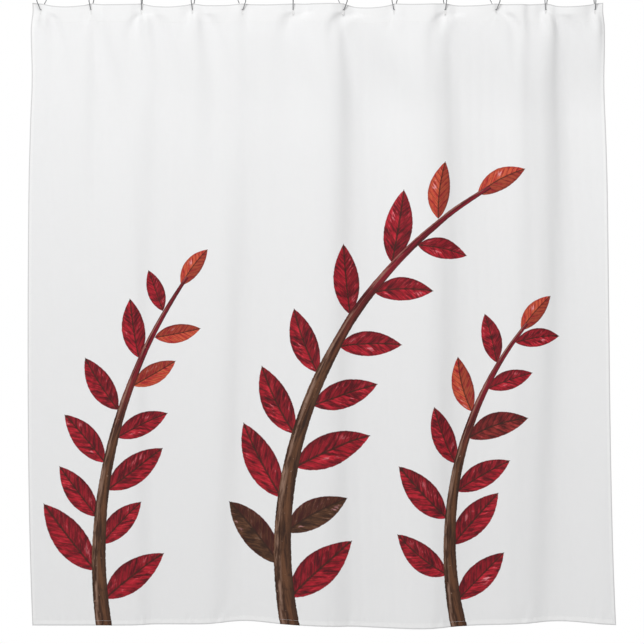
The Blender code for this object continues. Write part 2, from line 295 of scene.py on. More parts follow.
def fold_place(fold, down, gathered):
    """Where the steep side of a fold is. A gathered one runs into the nearest hole."""
    at = fold.at + (fold.low_at - fold.at) * (down / CLOTH_LENGTH) ** 2
    hole = HOLES[np.argmin(np.abs(HOLES - fold.at))]
    if gathered and abs(hole - fold.at) < GATHER_REACH:
        at = at + (hole - fold.at) * math.exp(-max(0.0, down - HOLE_DOWN) / GATHER_LENGTH)
    return at


def fold_depth(fold, across, down, at):
    """How far one fold takes the cloth back, at places across it and a length down it."""
    if fold.end < NEVER:
        slope = fold.slope * (1 - ease(down / fold.end))
    else:
        slope = fold.low_slope + (fold.slope - fold.low_slope) * math.exp(-down / SETTLE_LENGTH)
    if fold.start > 0:
        slope = slope * (EARLY_SHOW + (1 - EARLY_SHOW) * ease(down / fold.start))
    spread = ease(down / SPREAD_LENGTH)
    steep = fold.narrow + (fold.wide - fold.narrow) * spread
    gentle = fold.gentle * (TOP_GENTLE + (LOW_GENTLE - TOP_GENTLE) * spread)
    turn_back = at + VALLEY_REACH * (steep + gentle)
    return 2 * steep * slope * (rise(across - at, steep) - rise(across - turn_back, gentle))


def folds_depth(across, down, gathered):
    return sum(fold_depth(fold, across, down, fold_place(fold, down, gathered)) for fold in FOLDS)


def between_holes(across):
    """Which interval between holes each place is in, and its share of the way along it."""
    steps = np.clip((across - HOLES[0]) / PITCH, 0, HOOK_COUNT - 1)
    index = np.minimum(steps.astype(int), HOOK_COUNT - 2)
    return index, steps - index


def hung_depth(across, down, gathered=False):
    """The folds, with every hole brought into the plane below the rod."""
    index, share = between_holes(across)
    at_holes = folds_depth(HOLES, HOLE_DOWN, gathered)
    pull = at_holes[index] + (at_holes[index + 1] - at_holes[index]) * ease(share)
    pull = pull * math.exp(-(down - HOLE_DOWN) / PINNED_LENGTH)
    return folds_depth(across, down, gathered) - pull


@cache
def hole_twists(gathered):
    """What each hole's turn adds to the slope that the folds give the cloth there."""
    after = hung_depth(HOLES + SLOPE_STEP, HOLE_DOWN, gathered)
    before = hung_depth(HOLES - SLOPE_STEP, HOLE_DOWN, gathered)
    return np.sin(HOLE_ANGLES) - (after - before) / (2 * SLOPE_STEP)


def cloth_depth(across, down, gathered=False):
    """The hung cloth's place along Y, with the cloth round each hole turned by its hook."""
    depth = hung_depth(across, down, gathered)
    near = bell(down - HOLE_DOWN, TURN_DROP)
    for hole, twist in zip(HOLES, hole_twists(gathered)):
        away = across - hole
        depth = depth + twist * away * bell(away, TURN_REACH) * near
    return depth


# The fine wrinkles


@cache
def drawn(draw, low, high, count):
    """A fixed draw of evenly spread numbers."""
    return np.random.RandomState(draw).uniform(low, high, count)


def ripple(along, waves, draw):
    """A smooth uneven wave along a line, from -1 to 1 for the most part."""
    phases = drawn(draw, 0, 2 * math.pi, 2 * len(waves))
    total = 0.0
    for wave, phase, swell in zip(waves, phases[::2], phases[1::2]):
        strength = 1 + SWELL * np.sin(along / (wave * SWELL_WAVES) + swell)
        total = total + strength * np.sin(2 * math.pi * along / wave + phase)
    return total / len(waves)


def rays_depth(across, down):
    """Rays of the cloth below every hole, where the hook carries it."""
    total = np.zeros_like(across)
    if down > RAY_END:
        return total
    for number, hole in enumerate(HOLES):
        aside = across - hole
        below = down - HOLE_DOWN
        away = np.hypot(aside, below)
        angle = np.arctan2(aside, below)
        grow = ease((away - RAY_START) / (RAY_PEAK - RAY_START))
        strength = grow * np.exp(-np.maximum(0, away - RAY_PEAK) / RAY_LENGTH)
        for (bearing, depth), shift in zip(RAYS, drawn(number, -RAY_SHIFT, RAY_SHIFT, len(RAYS))):
            turned = angle - math.radians(bearing) - shift
            total = total + depth * strength * bell(turned, RAY_WIDTH) * (1 + 2 * shift)
    return total


def puckers_depth(across, down):
    """Small waves that the hem seams draw into the cloth on both sides of them."""
    downs = np.full_like(across, down)
    seams = (
        (TOP_PUCKER, across, down - TOP_HEM),
        (LOW_PUCKER, across, down - (CLOTH_LENGTH - LOW_HEM)),
        (LEFT_PUCKER, downs, across - SIDE_HEM),
        (RIGHT_PUCKER, downs, CLOTH_WIDTH - SIDE_HEM - across),
    )
    total = 0.0
    for (depth, reach, draw), along, away in seams:
        total = total + depth * ripple(along, PUCKER_WAVES, draw) * bell(away, reach)
    return total


def streaks_depth(across, down):
    """Soft upright unevenness of the hanging cloth."""
    drift = sum(size * math.sin(down * rate + start) for size, rate, start in STREAK_DRIFTS)
    first = ripple(across + drift, STREAK_WAVES, STREAK_DRAWS[0])
    second = ripple(across - drift, STREAK_WAVES, STREAK_DRAWS[1])
    share = 0.5 + 0.5 * math.sin(down * STREAK_CHANGE)
    return STREAK_DEPTH * (first * share + second * (1 - share))


def creases_depth(across, down):
    """The creases that rise from the lower hem."""
    above = CLOTH_LENGTH - down
    total = np.zeros_like(across)
    for crease in CREASES:
        share = above / crease.height
        at = crease.at + crease.lean * share
        width = crease.width * (1 + CREASE_WIDENING * share)
        fade = 1 - CREASE_FADE * math.exp(-above / CREASE_FADE_LENGTH)
        ridge = RIDGE_SHARE * bell(across - at - RIDGE_PLACE * width, width)
        hollow = bell(across - at, width) - ridge
        total = total + crease.depth * math.exp(-(share**2)) * fade * hollow
    return total


def seam_groove(across, down):
    """The shallow groove that the hem stitching lies in."""
    from_seams = (
        down - TOP_SEAM,
        down - LOW_SEAM,
        across - (SIDE_HEM - SEAM_FROM_FOLD),
        across - (CLOTH_WIDTH - SIDE_HEM + SEAM_FROM_FOLD),
    )
    groove = 0.0
    for away in from_seams:
        groove = np.maximum(groove, bell(away, GROOVE_WIDTH))
    return GROOVE_DEPTH * groove


def edge_roll(across, down):
    """How far the cloth rolls back along its four edges."""
    inside = np.minimum(np.minimum(across, CLOTH_WIDTH - across), min(down, CLOTH_LENGTH - down))
    share = np.clip(1 - inside / ROLL_REACH, 0, 1)
    return ROLL_DEPTH * (1 - np.sqrt(1 - share**2 * ROLL_ROUNDNESS))


def fine_depth(across, down):
    extra = rays_depth(across, down) + puckers_depth(across, down)
    extra = extra + streaks_depth(across, down) + creases_depth(across, down)
    return cloth_depth(across, down, True) + extra


def cloth_row(down):
    """Places across the cloth, and their X and Y as it hangs, at one length down it. X is as in
    the solids, and the gathers and the fine wrinkles only move the cloth along Y."""
    across = np.linspace(0, CLOTH_WIDTH, FINE_STEPS + 1)
    slope = np.gradient(cloth_depth(across, down), across)
    flatness = FINE_WRINKLES - TOP_TAKE_UP * math.exp(-down / TAKE_UP_LENGTH)
    forward = flatness * np.sqrt(np.maximum(LEAST_FORWARD**2, 1 - slope**2))
    steps = 0.5 * (forward[1:] + forward[:-1]) * np.diff(across)
    x = np.concatenate([[0.0], np.cumsum(steps)])
    x = x - x[-1] / 2 + LOW_SHIFT * (down / CLOTH_LENGTH) ** LOW_SHIFT_POWER
    x = x + RIGHT_SPREAD * (across / CLOTH_WIDTH) ** 2 * ease(down / RIGHT_SPREAD_LENGTH)
    return across, x, fine_depth(across, down)


def cloth_height(across, down):
    """Z of the hung cloth: it sags between hooks, more in some intervals than in others, and its
    lower edge is a little uneven."""
    index, share = between_holes(across)
    own = np.array(TOP_SAGS)[index] - TOP_SAG
    sag = TOP_SAG * math.exp(-down / SAG_LENGTH) + own * math.exp(-down / EDGE_SAG_LENGTH)
    sag = sag * 4 * share * (1 - share)
    outside = np.maximum(HOLES[0] - across, across - HOLES[-1])
    sag = sag - CORNER_LIFT * ease(outside / SIDE_MARGIN) * math.exp(-down / EDGE_SAG_LENGTH)
    low = (down / CLOTH_LENGTH) ** LOW_WAVE_POWER
    waves = sum(lift * bell(across - at, width) for at, lift, width in LOW_EDGE_WAVES)
    return CLOTH_TOP - down - sag + (waves - LOW_DROP) * low


def cloth_points(places, down):
    """Points of the middle of the cloth at one length down it, and the directions to its back."""
    rows = []
    for length in (down - POINT_STEP, down, down + POINT_STEP):
        inside = min(max(length, 0.0), CLOTH_LENGTH)
        across, *hung = cloth_row(inside)
        here = [np.interp(places, across, values) for values in hung]
        rows.append(np.stack([*here, cloth_height(places, inside)], 1))
    ahead = [np.interp(places + POINT_STEP, across, values) for values in hung]
    behind = [np.interp(places - POINT_STEP, across, values) for values in hung]
    sideways = np.stack([*np.subtract(ahead, behind), np.zeros(len(places))], 1)
    back = np.cross(sideways, rows[2] - rows[0])
    back = back / np.linalg.norm(back, axis=1)[:, None]
    return rows[1], back


# Node maths, written as formulas


def feed(entry, value):
    """Gives a node's input a field, a socket, a number or a colour."""
    if isinstance(value, Field):
        value = value.socket
    if isinstance(value, bpy.types.NodeSocket):
        entry.id_data.links.new(value, entry)
    elif isinstance(value, (int, float)):
        entry.default_value = value
    else:
        entry.default_value = (*value, 1.0)


def add_node(tree, kind, inputs, **settings):
    """A new node with these settings, and with what its named or numbered inputs are fed."""
    node = tree.nodes.new(kind)
    for setting, value in settings.items():
        setattr(node, setting, value)
    for key, value in inputs.items():
        feed(node.inputs[key], value)
    return node


class Field:
    """A number that varies over a surface: the output of a node."""

    def __init__(self, socket):
        self.socket = socket

    def join(self, operation, *others):
        inputs = dict(enumerate((self, *others)))
        node = add_node(self.socket.id_data, "ShaderNodeMath", inputs, operation=operation)
        return Field(node.outputs[0])

    __add__ = __radd__ = partialmethod(join, "ADD")
    __sub__ = partialmethod(join, "SUBTRACT")
    __rsub__ = partialmethod(join, "MULTIPLY_ADD", -1.0)
    __mul__ = __rmul__ = partialmethod(join, "MULTIPLY")
    __truediv__ = partialmethod(join, "DIVIDE")
    __pow__ = partialmethod(join, "POWER")
    __abs__ = partialmethod(join, "ABSOLUTE")
    above = partialmethod(join, "GREATER_THAN")
    angle_over = partialmethod(join, "ARCTAN2")
    sine = partialmethod(join, "SINE")
    cosine = partialmethod(join, "COSINE")
    lowest = partialmethod(join, "MINIMUM")
    highest = partialmethod(join, "MAXIMUM")
    whole = partialmethod(join, "FLOOR")

    def ramp(self, low, high):
        """0 at low, 1 at high, and a smooth step between them."""
        inputs = {"Value": self, "From Min": low, "From Max": high}
        tree = self.socket.id_data
        node = add_node(tree, "ShaderNodeMapRange", inputs, interpolation_type="SMOOTHSTEP")
        return Field(node.outputs["Result"])


def joined(first, *others):
    """A vector of a field and two more fields or numbers."""
    inputs = dict(enumerate((first, *others)))
    return add_node(first.socket.id_data, "ShaderNodeCombineXYZ", inputs).outputs[0]


def split(vector):
    """The three parts of a vector, as fields."""
    node = add_node(vector.id_data, "ShaderNodeSeparateXYZ", {0: vector})
    return [Field(output) for output in node.outputs]


def noise(vector, scale, detail=2.0, roughness=0.5):
    inputs = {"Vector": vector, "Scale": scale, "Detail": detail, "Roughness": roughness}
    return Field(add_node(vector.id_data, "ShaderNodeTexNoise", inputs).outputs["Fac"])


def blended(share, first, second):
    """A colour between two colours, each a socket or three numbers."""
    inputs = {"Factor": share, 6: first, 7: second}
    node = add_node(share.socket.id_data, "ShaderNodeMix", inputs, data_type="RGBA")
    return node.outputs[2]


def layered(colour, *layers):
    """A colour with others laid over it, each by its own share."""
    for share, over in layers:
        colour = blended(share, colour, over)
    return colour


# The printed design: arching leafy stems

DARK_BROWN = (0.034, 0.014, 0.008)
MID_BROWN = (0.135, 0.056, 0.026)
PALE_BROWN = (0.330, 0.205, 0.150)
DARK_RED = (0.070, 0.004, 0.008)
MID_RED = (0.400, 0.009, 0.022)
BRIGHT_RED = (0.640, 0.026, 0.045)
PALE_RED = (0.800, 0.360, 0.400)
STEM_RED = (0.280, 0.008, 0.024)
ORANGE = (0.620, 0.105, 0.045)

# where each stem starts, in metres from the cloth's left edge and up from its lower edge, which
# way it heads, in degrees from level, the radius it bends by (to the left if above 0), its length,
# the length and the spacing of its leaves, and a draw
Stem = namedtuple("Stem", "x y heading bend length leaf spacing draw")
STEMS = (
    Stem(0.225, -0.05, 98, -1.55, 1.16, 0.235, 0.165, 3.0),
    Stem(0.800, -0.05, 101, -1.30, 1.62, 0.285, 0.200, 7.0),
    Stem(1.330, -0.05, 104, -1.10, 1.02, 0.240, 0.165, 19.0),
)
# half a stem's width, as a share of its leaves' length, and where on it the first leaves can grow
STEM_HALF = 0.112
FIRST_LEAF = 0.12
# the last leaf and the leaf at the tip, as shares of the stem, and the tip leaf's size and draw
LAST_LEAF = 0.93
TIP_PLACE = 0.965
TIP_SIZE = 0.62
TIP_PICK = 0.9
# a leaf, as shares of its length: its stalk, the powers that its blade widens and narrows by, the
# blade's width, half the stalk's width, and its bend
LEAF_STALK = 0.07
BLADE_POWERS = (0.80, 0.92)
BLADE_WIDTH = 0.62
STALK_HALF = 0.011
LEAF_CURVE = 0.30
# its least angle from the stem, in radians, and how much more it can be, and its size likewise
LEAF_TILT = (0.62, 0.34)
LEAF_SIZE = (0.84, 0.26)
# the size at the foot of the stem, and what the leaves and the stem's width lose by its end
LOWEST_SIZE = 1.10
SIZE_LOSS = 0.46
STEM_LOSS = 0.78
STEM_UNEVEN = (0.90, 0.20)
# where the lowest leaf may be rooted, what sets leaves on the left apart, and the least cover seen
LOWEST_ROOT = 0.05
LEFT_DRAW = 31.0
LEAF_SHOWS = 0.02
# how far the painted outlines waver, and how soft they are on a leaf and on a stem
WAVER = 0.016
LEAF_EDGE = 0.010
STEM_EDGE = 0.0012


def stem_place(across, up, stem):
    """How far a place is along a stem and to its left."""
    ahead_x = math.cos(math.radians(stem.heading))
    ahead_y = math.sin(math.radians(stem.heading))
    right = across - stem.x
    over = up - stem.y
    ahead = right * ahead_x + over * ahead_y
    left = over * ahead_x - right * ahead_y
    turn = math.copysign(1.0, stem.bend)
    radius = abs(stem.bend)
    to_middle = radius - left * turn
    along = ahead.angle_over(to_middle) * radius
    away = (ahead * ahead + to_middle * to_middle) ** 0.5
    return along, (radius - away) * turn


def nearest_stem(across, up):
    """The nearest stem of a place: how far along and aside of it the place is and the stem's draw,
    then the stem's length, its leaves' length and their spacing."""
    nearest, place, sizes = None, None, None
    for stem in STEMS:
        along, aside = stem_place(across, up, stem)
        distance = abs(aside) + (along - stem.length).highest(0.0)
        here = joined(along, aside, stem.draw)
        own = (stem.length, stem.leaf, stem.spacing)
        if nearest is None:
            nearest, place, sizes = distance, here, own
        else:
            closer = (nearest - distance).above(0.0)
            place = blended(closer, place, here)
            sizes = blended(closer, sizes, own)
            nearest = nearest.lowest(distance)
    return split(place) + split(sizes)


def leaf_width(along):
    """Half the width of a leaf, as a share of its length, with its stalk below the blade."""
    blade = ((along - LEAF_STALK) / (1 - LEAF_STALK)).highest(0.0).lowest(1.0)
    widening, narrowing = BLADE_POWERS
    return (blade**widening * (1 - blade) ** narrowing * BLADE_WIDTH).highest(STALK_HALF)


def leaf_on_stem(stem, step):
    """The leaf of a place's own interval along its stem, or of the one before: how much of the
    place it covers, its own coordinates with its draw, and its share of the way up the stem."""
    along, aside, draw, length, leaf, spacing = stem
    on_left = aside.above(0.0)
    shift = on_left * 0.5 * spacing + FIRST_LEAF
    cell = ((along - shift) / spacing).whole() - step
    root = cell * spacing + shift
    seed = {"Vector": joined(cell, on_left * LEFT_DRAW + draw, 0.0)}
    tree = along.socket.id_data
    chance = add_node(tree, "ShaderNodeTexWhiteNoise", seed, noise_dimensions="2D")
    pick, tilts, sizes = split(chance.outputs["Color"])
    tilt = tilts * LEAF_TILT[1] + LEAF_TILT[0]
    travelled = root / length
    size = leaf * (LOWEST_SIZE - SIZE_LOSS * travelled) * (sizes * LEAF_SIZE[1] + LEAF_SIZE[0])
    cosine = tilt.cosine()
    sine = tilt.sine()
    forward = along - root
    outward = abs(aside)
    leaf_along = (forward * cosine + outward * sine) / size
    leaf_aside = (outward * cosine - forward * sine) / size
    standing = root.above(LOWEST_ROOT) * (length * LAST_LEAF - root).above(0.0)
    return leaf_along, leaf_aside, pick, travelled, standing


def chosen_leaf(stem, wobble):
    """The uppermost leaf that covers a place: its cover, coordinates, draw and share of the way."""
    along, aside, _, length, leaf, _ = stem
    tip_size = leaf * TIP_SIZE
    tip = ((along - length * TIP_PLACE) / tip_size, aside / tip_size, TIP_PICK, 1.0, 1.0)
    cover, place, travelled = None, None, None
    for part in (leaf_on_stem(stem, 1), leaf_on_stem(stem, 0), tip):
        leaf_along, leaf_aside, pick, share, standing = part
        bow = (leaf_along - leaf_along * leaf_along) * (pick - 0.5) * LEAF_CURVE
        curved = leaf_aside - bow + wobble
        room = leaf_width(leaf_along) - abs(curved)
        inside = leaf_along.above(0.0) * (1 - leaf_along).above(0.0)
        own = room.ramp(0.0, LEAF_EDGE) * inside * standing
        here = joined(leaf_along, curved, pick)
        if cover is None:
            cover, place, travelled = own, here, share
        else:
            over = own.above(LEAF_SHOWS)
            place = blended(over, place, here)
            travelled = travelled + (share - travelled) * over
            cover = cover.highest(own)
    return (cover, *split(place), travelled)


def painted_leaf(along, aside, pick, travelled):
    """A leaf's colours, in strokes that follow its veins."""
    side = abs(aside)
    share = side / leaf_width(along)
    vein_line = along - side * 1.15
    stroke_place = joined(vein_line * 17.0 + pick * 60.0, side * 9.0, pick * 9.0)
    strokes = noise(stroke_place, 1.0, 4.0, 0.62)
    wash = noise(joined(along * 3.4 + pick * 31.0, aside * 6.5, 3.0), 1.0, 3.0, 0.55)
    upper = aside.ramp(-0.012, 0.012)
    light = wash.ramp(0.36, 0.64)

    red_strokes = (light * strokes.ramp(0.44, 0.66), BRIGHT_RED)
    red = layered(DARK_RED, (strokes.ramp(0.30, 0.62), MID_RED), red_strokes)
    orange = blended(strokes.ramp(0.32, 0.60), MID_RED, ORANGE)
    pale_strokes = (light * strokes.ramp(0.58, 0.72), PALE_BROWN)
    brown = layered(DARK_BROWN, (strokes.ramp(0.34, 0.68), MID_BROWN), pale_strokes)
    shadow = (1 - upper) * 0.42 + share.ramp(0.72, 1.0) * 0.40
    veins = (vein_line * 62.0).sine().ramp(0.80, 0.99) * share.ramp(1.0, 0.70)
    gleam = wash.ramp(0.56, 0.68) * strokes.ramp(0.50, 0.62)
    gleam = gleam * share.ramp(0.20, 0.38) * share.ramp(0.80, 0.55)
    return layered(
        red,
        ((pick + travelled * 0.35).ramp(0.98, 1.02), orange),
        ((pick + travelled * 0.55).ramp(0.36, 0.32), brown),
        (shadow.lowest(0.85), DARK_RED),
        (veins * 0.55, DARK_BROWN),
        (gleam * (0.30 + 0.55 * upper), PALE_RED),
        (side.ramp(0.016, 0.006) * 0.80, DARK_BROWN),
    )


def painted_stem(along, across_it, travelled, fine):
    """A stem's bark: streaks along it, light from its left and pale specks."""
    streaks = noise(joined(along * 7.0, across_it * 1.6, 0.0), 1.0, 4.0, 0.65)
    knots = noise(joined(along * 34.0, across_it * 0.7, 5.0), 1.0, 2.0)
    redder = blended(streaks.ramp(0.34, 0.66), DARK_RED, STEM_RED)
    lit = across_it.ramp(0.05, 0.50) * across_it.ramp(0.98, 0.70)
    specks = fine.ramp(0.66, 0.70) * across_it.ramp(-0.7, 0.1)
    return layered(
        DARK_BROWN,
        (streaks.ramp(0.36, 0.62), MID_BROWN),
        (travelled.ramp(0.50, 0.78), redder),
        (lit * streaks.ramp(0.44, 0.60) * 0.75, PALE_BROWN),
        (knots.ramp(0.60, 0.72) * 0.55, DARK_BROWN),
        (specks * 0.7, PALE_BROWN),
        (across_it.ramp(-0.30, -0.95) * 0.75, DARK_BROWN),
    )


def printed_colour(across, up, ground):
    """The ground's colour with the painted stems over it."""
    fine = noise(joined(across, up, 0.0), 85.0, 3.0, 0.6)
    stem = nearest_stem(across, up)
    along, aside, _, length, leaf, _ = stem
    leaf_cover, *leaf_place = chosen_leaf(stem, (fine - 0.5) * WAVER)
    leaf_colour = painted_leaf(*leaf_place)

    travelled = (along / length).highest(0.0).lowest(1.0)
    half = leaf * STEM_HALF * (1 - travelled * STEM_LOSS) * (STEM_UNEVEN[0] + fine * STEM_UNEVEN[1])
    on_stem = (half - abs(aside)).ramp(0.0, STEM_EDGE) * (1.0 - along / length).above(0.0)
    bark = painted_stem(along, aside / half, travelled, fine)
    colour = blended(leaf_cover, ground, leaf_colour)
    return blended(on_stem, colour, bark), leaf_cover.highest(on_stem)


# Materials

WEAVE_PITCH = 0.00052
WEAVE_DEPTH = 0.00006
# uneven threads: how many in a metre across and along them, and how much they and blotches shade
UNEVEN_ACROSS = 900.0
UNEVEN_ALONG = 22.0
THREAD_SHADE = 0.030
BLOTCH_SHADE = 0.012
# painted shade along the cloth's edges, standing in for a rolled edge turning from the light: where
# it ends, and how dark it is
EDGE_LINE = (0.0024, 0.0044)
EDGE_SHADE_GREY = 0.76
BODY_WHITE = (0.845, 0.847, 0.850)
TOP_HEM_WHITE = (0.856, 0.857, 0.859)
NARROW_HEM_WHITE = (0.888, 0.889, 0.890)
HEM_BLUR = 0.0004
BACK_PRINT = 0.42
FLAT_CLOTH = "flat_cloth"
STEEL = (0.36, 0.36, 0.37)
DULL_STEEL = (0.25, 0.25, 0.26)
SATIN_WHITE = (0.86, 0.86, 0.855)
SEAM_WHITE = (0.84, 0.84, 0.835)
SATIN_FIBRES = 0.00004
SEAM_FIBRES = 0.00003
DRAW_LINES = 0.00002


def new_material(name):
    material = bpy.data.materials.new(name)
    material.use_nodes = True
    tree = material.node_tree
    return material, tree, tree.nodes["Principled BSDF"]


def bump(height, distance, strength, shader):
    inputs = {"Distance": distance, "Strength": strength, "Height": height}
    node = add_node(shader.id_data, "ShaderNodeBump", inputs)
    feed(shader.inputs["Normal"], node.outputs["Normal"])


def ground_colour(side, up):
    """The white of the cloth, a little lighter where a hem doubles it."""
    in_top = (up - (CLOTH_LENGTH - TOP_HEM)).ramp(-HEM_BLUR, HEM_BLUR)
    in_side = (SIDE_HEM - side).ramp(-HEM_BLUR, HEM_BLUR)
    in_low = (LOW_HEM - up).ramp(-HEM_BLUR, HEM_BLUR)
    in_narrow = in_side.highest(in_low)
    return layered(BODY_WHITE, (in_top, TOP_HEM_WHITE), (in_narrow, NARROW_HEM_WHITE))


def cloth_material(name, print_share):
    """White polyester with a fine plain weave, the printed design and a painted shade along its
    edges.
    """
    material, tree, shader = new_material(name)
    flat = add_node(tree, "ShaderNodeUVMap", {}, uv_map=FLAT_CLOTH)
    across, up, _ = split(flat.outputs["UV"])
    place = joined(across, up, 0.0)
    warp = noise(joined(across * UNEVEN_ACROSS, up * UNEVEN_ALONG, 0.0), 1.0, 3.0)
    weft = noise(joined(across * UNEVEN_ALONG, up * UNEVEN_ACROSS, 7.0), 1.0, 3.0)
    blotch = noise(place, 9.0, 3.0)
    shade = 1 - (warp - 0.5) * THREAD_SHADE - (weft - 0.5) * THREAD_SHADE
    shade = shade - (blotch - 0.5) * BLOTCH_SHADE

    side = across.lowest(CLOTH_WIDTH - across)
    ground = ground_colour(side, up)
    colour, cover = printed_colour(across, up, ground)
    faded = blended(cover * print_share, ground, colour)
    # painted shade: the base colour darkens within a few millimetres of every edge, as if the rolled
    # rim turned from the light
    clear_of_edge_shade = side.lowest(up.lowest(CLOTH_LENGTH - up)).ramp(*EDGE_LINE)
    scaled = {0: faded, "Scale": shade * (EDGE_SHADE_GREY + (1 - EDGE_SHADE_GREY) * clear_of_edge_shade)}
    shaded = add_node(tree, "ShaderNodeVectorMath", scaled, operation="SCALE")
    feed(shader.inputs["Base Color"], shaded.outputs[0])

    feed(shader.inputs["Roughness"], 0.80 + (blotch - 0.5) * 0.08 - cover * 0.06)
    shader.inputs["Specular IOR Level"].default_value = 0.25
    shader.inputs["Sheen Weight"].default_value = 0.12
    shader.inputs["Sheen Roughness"].default_value = 0.45

    turns = 2 * math.pi / WEAVE_PITCH
    threads = (across * turns).sine() * (up * turns).sine()
    slubs = (warp - 0.5) * 0.8 + (weft - 0.5) * 0.8
    bump(threads * 0.5 + slubs, WEAVE_DEPTH, 0.35, shader)
    return material


def thread_material(name, colour, depth):
    """Spun polyester thread: fine twisted strands, a little glossier than the cloth."""
    material, tree, shader = new_material(name)
    own = tree.nodes.new("ShaderNodeTexCoord").outputs["Object"]
    fibres = noise(own, 2600.0, 3.0)
    soil = noise(own, 60.0, 2.0)
    tone = blended(fibres.ramp(0.3, 0.7), [value * 0.86 for value in colour], colour)
    soiled = [value * 0.90 for value in colour]
    feed(shader.inputs["Base Color"], blended(soil.ramp(0.5, 0.8) * 0.3, tone, soiled))
    feed(shader.inputs["Roughness"], 0.55 + fibres * 0.2)
    shader.inputs["Sheen Weight"].default_value = 0.25
    bump(fibres, depth, 0.5, shader)
    return material


def steel_material():
    """Drawn and polished steel wire with fine draw lines and a few dull marks."""
    material, tree, shader = new_material("hook_steel_drawn")
    own = tree.nodes.new("ShaderNodeTexCoord").outputs["Object"]
    lines = noise(own, 1500.0, 4.0)
    dull = noise(own, 90.0, 3.0)
    feed(shader.inputs["Base Color"], blended(dull.ramp(0.45, 0.75), STEEL, DULL_STEEL))
    feed(shader.inputs["Roughness"], 0.28 + lines * 0.10 + dull.ramp(0.5, 0.8) * 0.12)
    shader.inputs["Metallic"].default_value = 1.0
    bump(lines, DRAW_LINES, 0.25, shader)
    return material


# Meshes and objects


def linked(name, data):
    """A new object in the scene."""
    thing = bpy.data.objects.new(name, data)
    bpy.context.scene.collection.objects.link(thing)
    return thing


def finished_mesh(name, shape):
    """A mesh of a closed bmesh shape, facing outwards. The shape is freed."""
    bmesh.ops.recalc_face_normals(shape, faces=shape.faces)
    mesh = bpy.data.meshes.new(name)
    shape.to_mesh(mesh)
    shape.free()
    return mesh


def add_piece(name, mesh, stands_for=None):
    """A piece of the object, riding with its one body, and the solid that it stands for."""
    piece = linked(name, mesh)
    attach(piece, "root")
    if stands_for:
        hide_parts(stands_for)
    return piece


def add_ring(shape, centre, first, second, sides):
    """Points round a centre, on the ellipse with these two half axes."""
    angles = [2 * math.pi * side / sides for side in range(sides)]
    return [shape.verts.new(centre + first * math.cos(a) + second * math.sin(a)) for a in angles]


def join_rings(shape, rings, closed=False):
    """Smooth faces from each ring to the next. The last one meets the first if closed, and
    otherwise both ends are filled."""
    for low, high in zip(rings, rings[1:] + rings[:closed]):
        for side in range(len(low)):
            after = (side + 1) % len(low)
            shape.faces.new((low[side], low[after], high[after], high[side])).smooth = True
    if not closed:
        shape.faces.new(rings[0][::-1])
        shape.faces.new(rings[-1])


# The cloth's mesh


def band_columns(step):
    """Places across the cloth: dense at both rims and hem lines, and every step between."""
    seam = SIDE_HEM - SEAM_FROM_FOLD
    rims = [*RIM_STEPS, seam - GROOVE_WIDTH, seam, seam + GROOVE_WIDTH]
    rims += [SIDE_HEM - HEM_STEP, SIDE_HEM + HEM_STEP]
    middle_from = SIDE_HEM + step
    count = round((CLOTH_WIDTH - 2 * middle_from) / step)
    middle = np.linspace(middle_from, CLOTH_WIDTH - middle_from, count + 1)
    return np.concatenate([rims, middle, [CLOTH_WIDTH - place for place in reversed(rims)]])


def spaced(low, high, step):
    """Evenly spaced values from low to high, about a step apart, without high itself."""
    count = max(1, round((high - low) / step))
    return list(np.linspace(low, high, count + 1)[:-1])


def cloth_rows():
    """(length down, places across) for every row of the fine cloth."""
    top = list(RIM_STEPS) + spaced(RIM_STEPS[-1] + TOP_STEP[0], TOP_SEAM - GROOVE_WIDTH, TOP_STEP[0])
    top += [TOP_SEAM - GROOVE_WIDTH, TOP_SEAM, TOP_SEAM + GROOVE_WIDTH]
    top += [TOP_HEM - HEM_STEP, TOP_HEM + HEM_STEP]
    top += spaced(TOP_HEM + TOP_STEP[0], FINE_TOP, TOP_STEP[0])
    low_hem = CLOTH_LENGTH - LOW_HEM
    body = spaced(FINE_TOP, CLOTH_LENGTH - FINE_LOW, BODY_STEP[0])
    low = spaced(CLOTH_LENGTH - FINE_LOW, low_hem - HEM_STEP, LOW_STEP[0])
    low += [low_hem - HEM_STEP, low_hem + HEM_STEP]
    low += [LOW_SEAM - GROOVE_WIDTH, LOW_SEAM, LOW_SEAM + GROOVE_WIDTH]
    low += spaced(LOW_SEAM + LOW_STEP[0], CLOTH_LENGTH - RIM_STEPS[-1], LOW_STEP[0])
    low += [CLOTH_LENGTH - place for place in reversed(RIM_STEPS)]
    bands = ((top, TOP_STEP[1]), (body, BODY_STEP[1]), (low, LOW_STEP[1]))
    return [(down, band_columns(step)) for lengths, step in bands for down in lengths]


def hem_layers(across, down):
    """1 where the cloth is folded double."""
    side = np.minimum(across, CLOTH_WIDTH - across)
    deep = down <= TOP_HEM or down >= CLOTH_LENGTH - LOW_HEM
    return np.where((side <= SIDE_HEM) | deep, 1.0, 0.0)


def zip_rows(sheet, upper, lower, upper_places, lower_places):
    """Faces between two rows of points that may be spaced differently."""
    made = []
    next_upper = [*upper_places[1:], math.inf]
    next_lower = [*lower_places[1:], math.inf]
    i, j = 0, 0
    while i < len(upper) - 1 or j < len(lower) - 1:
        lead = next_upper[i] - next_lower[j]
        corners = [upper[i], lower[j]]
        if lead > -WELD:
            j += 1
            corners.append(lower[j])
        if lead < WELD:
            i += 1
            corners.append(upper[i])
        made.append(sheet.faces.new(corners))
    return made


def cloth_layers(rows):
    """For every row, its front points and its back points."""
    layers = []
    for down, places in rows:
        middle, back = cloth_points(places, down)
        middle[:, 1] += edge_roll(places, down)
        groove = seam_groove(places, down)
        thickness = CLOTH_THICKNESS + (HEM_THICKNESS - CLOTH_THICKNESS) * hem_layers(places, down)
        offsets = (groove - HEM_THICKNESS / 2, thickness - HEM_THICKNESS / 2 - groove)
        layers.append([middle + back * offset[:, None] for offset in offsets])
    return layers


